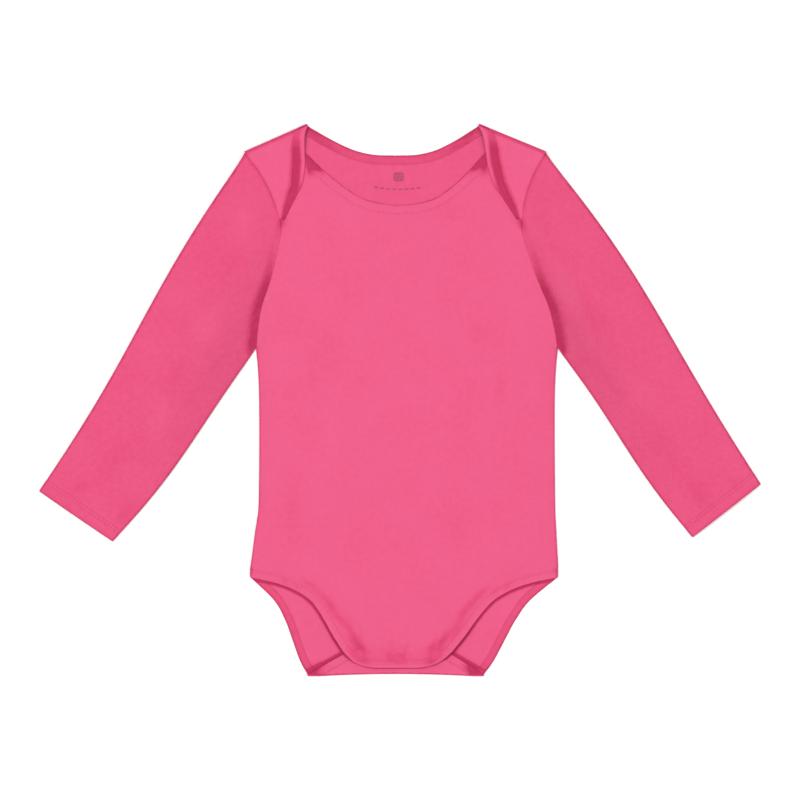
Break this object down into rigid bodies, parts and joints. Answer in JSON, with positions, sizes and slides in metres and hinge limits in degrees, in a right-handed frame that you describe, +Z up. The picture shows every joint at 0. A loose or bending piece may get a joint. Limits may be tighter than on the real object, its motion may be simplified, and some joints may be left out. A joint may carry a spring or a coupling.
{
  "type": "baby onesie",
  "caption": "Baby onesie (bodysuit) in plain pink jersey: long set-in sleeves, lapped envelope shoulders, high leg openings and a snap crotch, laid out flat on its back.",
  "frame": {"origin": "on the surface the garment lies on, under the middle of its outline", "axes": "+Y from the crotch to the neck, +X across the front to the right as seen from above, +Z up out of the front"},
  "size_m": [0.5418, 0.4147, 0.007],
  "materials": {
    "jersey": "fine smooth jersey, matt with a soft sheen",
    "band": "the same jersey, folded and stitched down",
    "snap": "pink resin, satin"
  },
  "bodies": {
    "root": {"back_panel": "jersey", "front_panel": "jersey", "sleeve_left": "jersey", "sleeve_right": "jersey", "neck_band_back": "band", "neck_band_front": "band", "leg_band_front": "band", "leg_band_back": "band", "snap_cap_left": "snap", "snap_cap_middle": "snap", "snap_cap_right": "snap", "snap_socket_left": "snap", "snap_socket_middle": "snap", "snap_socket_right": "snap"}
  },
  "joints": []
}
